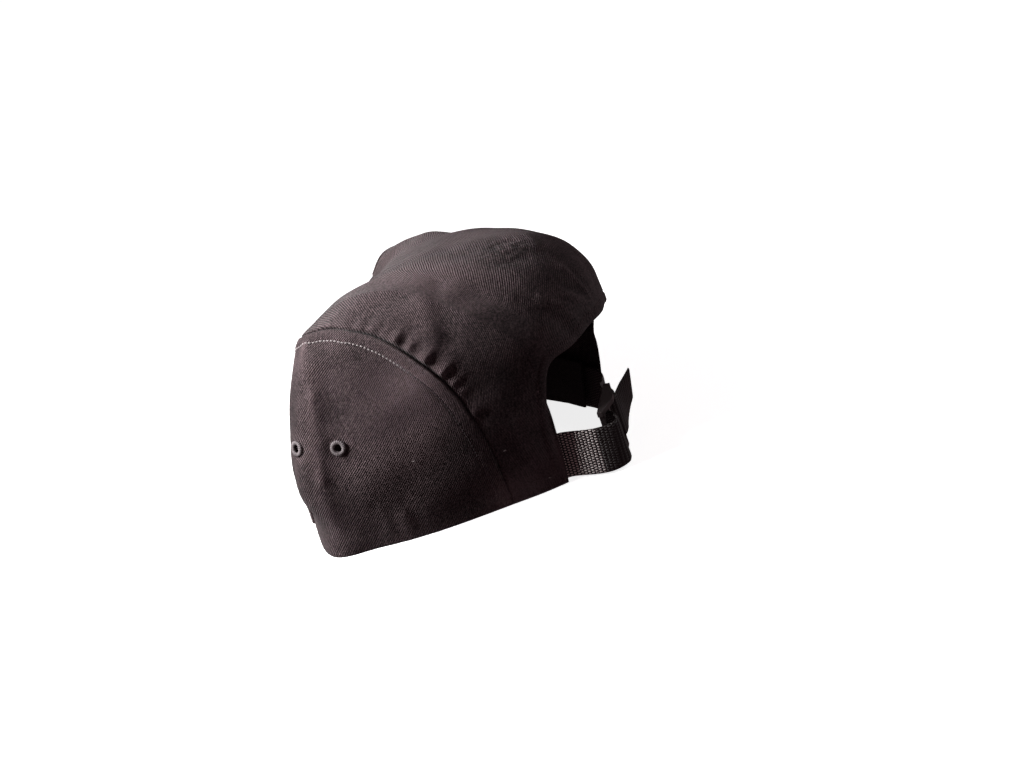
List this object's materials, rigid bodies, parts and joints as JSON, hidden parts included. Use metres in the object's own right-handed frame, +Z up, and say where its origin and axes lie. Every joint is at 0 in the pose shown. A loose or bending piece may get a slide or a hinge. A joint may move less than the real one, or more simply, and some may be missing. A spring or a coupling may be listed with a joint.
{
  "type": "camp cap",
  "caption": "Soft low-profile cotton cap resting on its rim, with a turned-up peak, side eyelets, and a webbing strap and buckle across a rear arch.",
  "frame": {"origin": "middle of the cap's outline seen from above, on the plane its rim rests on", "axes": "+Z up, front towards -Y, the wearer's left towards +X"},
  "size_m": [0.199, 0.194, 0.122],
  "materials": {
    "twill": "matt washed twill",
    "thread": "matt stitched thread",
    "sweatband_cloth": "matt cloth",
    "webbing": "ribbed weave with a slight sheen",
    "buckle_plastic": "satin moulded"
  },
  "bodies": {
    "root": {"top_panel": "twill", "front_panel": "twill", "side_panel_left": "twill", "side_panel_right": "twill", "peak": "twill", "eyelet_left_rear": "thread", "eyelet_left_front": "thread", "eyelet_right_rear": "thread", "eyelet_right_front": "thread", "sweatband": "sweatband_cloth", "strap_long": "webbing", "strap_short": "webbing", "buckle": "buckle_plastic"}
  },
  "joints": []
}
